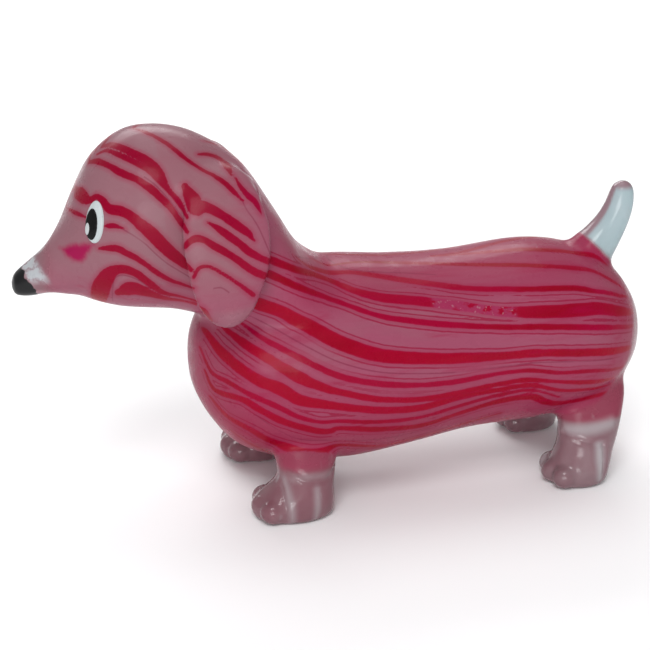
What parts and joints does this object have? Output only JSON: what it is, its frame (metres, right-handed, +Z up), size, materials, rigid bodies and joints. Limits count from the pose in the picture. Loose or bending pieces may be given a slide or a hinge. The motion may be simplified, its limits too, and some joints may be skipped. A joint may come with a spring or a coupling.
{
  "type": "squeeze toy dachshund",
  "caption": "Soft clear-rubber dachshund toy, filled with pink gel and red ribbons, that stretches, nods, wags its tail and lifts its ears.",
  "frame": {"origin": "on the ground plane, midway between the nose tip and the rump, on the middle plane", "axes": "-X towards the nose, -Y towards the dog's left side, +Z up"},
  "size_m": [0.14, 0.0468, 0.0841],
  "materials": {
    "clear_skin": "clear, gloss",
    "pink_gel": "translucent",
    "red_gel": "translucent",
    "ear_rubber": "clear, gloss, streaked",
    "tail_rubber": "milky, gloss",
    "clear_rubber": "clear, gloss",
    "plug": "clear, matt",
    "white_print": "gloss",
    "black_print": "gloss"
  },
  "bodies": {
    "hindquarters": {"skin_waist": "clear_skin", "skin_rump": "clear_skin", "filling_waist": "pink_gel", "filling_rump": "pink_gel", "ribbons_waist": "red_gel", "ribbons_rump": "red_gel", "tail_root": "tail_rubber", "leg_rear_left": "clear_rubber", "leg_rear_right": "clear_rubber"},
    "forequarters": {"skin_neck": "clear_skin", "skin_chest": "clear_skin", "filling_neck": "pink_gel", "filling_chest": "pink_gel", "ribbons_neck": "red_gel", "ribbons_chest": "red_gel", "leg_front_left": "clear_rubber", "leg_front_right": "clear_rubber", "fill_plug": "plug"},
    "head": {"skin_head": "clear_skin", "filling_head": "pink_gel", "ribbons_head": "red_gel", "ear_root_left": "ear_rubber", "ear_root_right": "ear_rubber", "nose_tip": "black_print", "eye_white_left": "white_print", "eye_white_right": "white_print", "pupil_left": "black_print", "pupil_right": "black_print", "glint_left": "white_print", "glint_right": "white_print"},
    "ear_left": {"ear_left": "ear_rubber"},
    "ear_right": {"ear_right": "ear_rubber"},
    "tail": {"tail": "tail_rubber"},
    "paw_front_left": {"paw_front_left": "clear_rubber"},
    "paw_front_right": {"paw_front_right": "clear_rubber"},
    "paw_rear_left": {"paw_rear_left": "clear_rubber"},
    "paw_rear_right": {"paw_rear_right": "clear_rubber"}
  },
  "joints": [
    {"name": "body_stretch", "type": "slide", "parent": "hindquarters", "child": "forequarters", "axis": [-1, 0, 0], "range_m": [0, 0.035], "stiffness_N_per_m": 200, "deforming": ["skin_waist", "filling_waist", "ribbons_waist"]},
    {"name": "head_nod", "type": "hinge", "parent": "forequarters", "child": "head", "pos_m": [-0.0215, 0, 0.0506], "axis": [0, 1, 0], "range_deg": [-15, 15], "stiffness_Nm_per_rad": 0.8, "deforming": ["skin_neck", "filling_neck", "ribbons_neck"]},
    {"name": "tail_wag", "type": "hinge", "parent": "hindquarters", "child": "tail", "pos_m": [0.0612, 0, 0.0504], "axis": [0.8746, 0, -0.4848], "range_deg": [-30, 30], "stiffness_Nm_per_rad": 0.03, "deforming": ["tail_root"]},
    {"name": "ear_left_lift", "type": "hinge", "parent": "head", "child": "ear_left", "pos_m": [-0.028, -0.0105, 0.0785], "axis": [-1, 0, 0], "range_deg": [0, 60], "stiffness_Nm_per_rad": 0.02, "deforming": ["ear_root_left"]},
    {"name": "ear_right_lift", "type": "hinge", "parent": "head", "child": "ear_right", "pos_m": [-0.028, 0.0105, 0.0785], "axis": [1, 0, 0], "range_deg": [0, 60], "stiffness_Nm_per_rad": 0.02, "deforming": ["ear_root_right"]},
    {"name": "paw_front_left_flex", "type": "hinge", "parent": "forequarters", "child": "paw_front_left", "pos_m": [-0.0119, -0.0165, 0.0065], "axis": [0, 1, 0], "range_deg": [-10, 10], "stiffness_Nm_per_rad": 0.3, "deforming": ["leg_front_left"]},
    {"name": "paw_front_right_flex", "type": "hinge", "parent": "forequarters", "child": "paw_front_right", "pos_m": [-0.0119, 0.0165, 0.0065], "axis": [0, 1, 0], "range_deg": [-10, 10], "stiffness_Nm_per_rad": 0.3, "deforming": ["leg_front_right"]},
    {"name": "paw_rear_left_flex", "type": "hinge", "parent": "hindquarters", "child": "paw_rear_left", "pos_m": [0.0535, -0.0165, 0.0065], "axis": [0, 1, 0], "range_deg": [-10, 10], "stiffness_Nm_per_rad": 0.3, "deforming": ["leg_rear_left"]},
    {"name": "paw_rear_right_flex", "type": "hinge", "parent": "hindquarters", "child": "paw_rear_right", "pos_m": [0.0535, 0.0165, 0.0065], "axis": [0, 1, 0], "range_deg": [-10, 10], "stiffness_Nm_per_rad": 0.3, "deforming": ["leg_rear_right"]}
  ]
}
